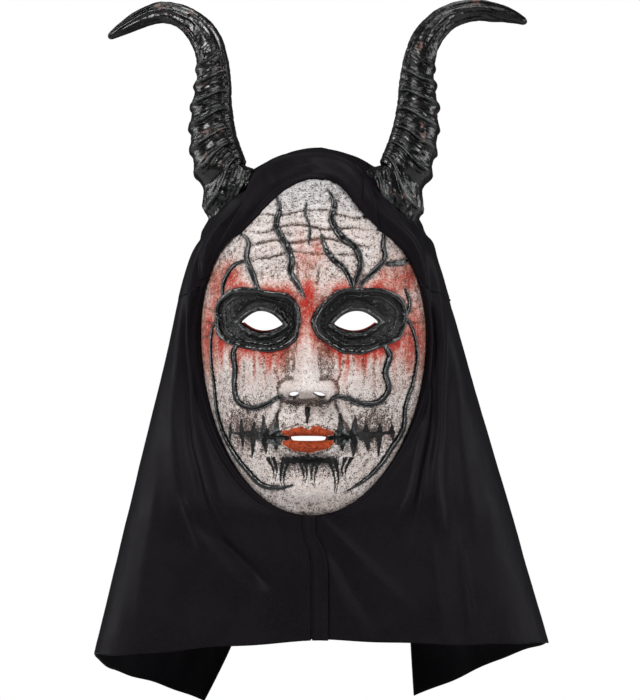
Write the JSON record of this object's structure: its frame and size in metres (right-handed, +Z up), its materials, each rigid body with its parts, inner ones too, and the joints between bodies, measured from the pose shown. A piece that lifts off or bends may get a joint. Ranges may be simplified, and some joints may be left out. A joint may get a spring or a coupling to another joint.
{
  "type": "costume mask",
  "caption": "Horned costume mask: a painted face shell, ringed horns, a draped open-backed cloth hood and an elastic head strap on rivets.",
  "frame": {"origin": "middle of the wearer's head at eye height", "axes": "+Z up, the face looks along -Y, +X to the viewer's right"},
  "size_m": [0.3281, 0.2028, 0.5087],
  "materials": {
    "face_paint": "crackled pale paint with black and red airbrushing",
    "horn_black": "semi-gloss black with a dry-brushed grey green edge",
    "foam": "open-cell foam",
    "hood_cloth": "smooth polyester jersey with a soft sheen",
    "elastic": "ribbed elastic",
    "rivet_metal": "dull nickel",
    "washer_plastic": "matt"
  },
  "bodies": {
    "mask": {"face_shell": "face_paint", "hood_crown": "hood_cloth", "hood_brow_band": "hood_cloth", "hood_panel_left": "hood_cloth", "hood_panel_right": "hood_cloth", "front_placket": "hood_cloth", "horn_left": "horn_black", "horn_right": "horn_black", "horn_core_left": "foam", "horn_core_right": "foam", "strap_rivet_left": "rivet_metal", "strap_rivet_right": "rivet_metal", "strap_washer_left": "washer_plastic", "strap_washer_right": "washer_plastic", "strap_pad_left": "foam", "strap_pad_right": "foam"},
    "strap": {"strap_band": "elastic"},
    "left_flap": {"back_flap_left": "hood_cloth"},
    "right_flap": {"back_flap_right": "hood_cloth"}
  },
  "joints": [
    {"name": "strap_swing", "type": "hinge", "parent": "mask", "child": "strap", "pos_m": [0, -0.021, 0.031], "axis": [1, 0, 0], "range_deg": [-50, 10]},
    {"name": "left_flap_swing", "type": "hinge", "parent": "mask", "child": "left_flap", "pos_m": [-0.0995, 0.005, 0.017], "axis": [0.2376, 0, 0.9714], "range_deg": [0, 100]},
    {"name": "right_flap_swing", "type": "hinge", "parent": "mask", "child": "right_flap", "pos_m": [0.0945, 0.005, 0.017], "axis": [0.2807, 0, -0.9598], "range_deg": [0, 100]}
  ]
}
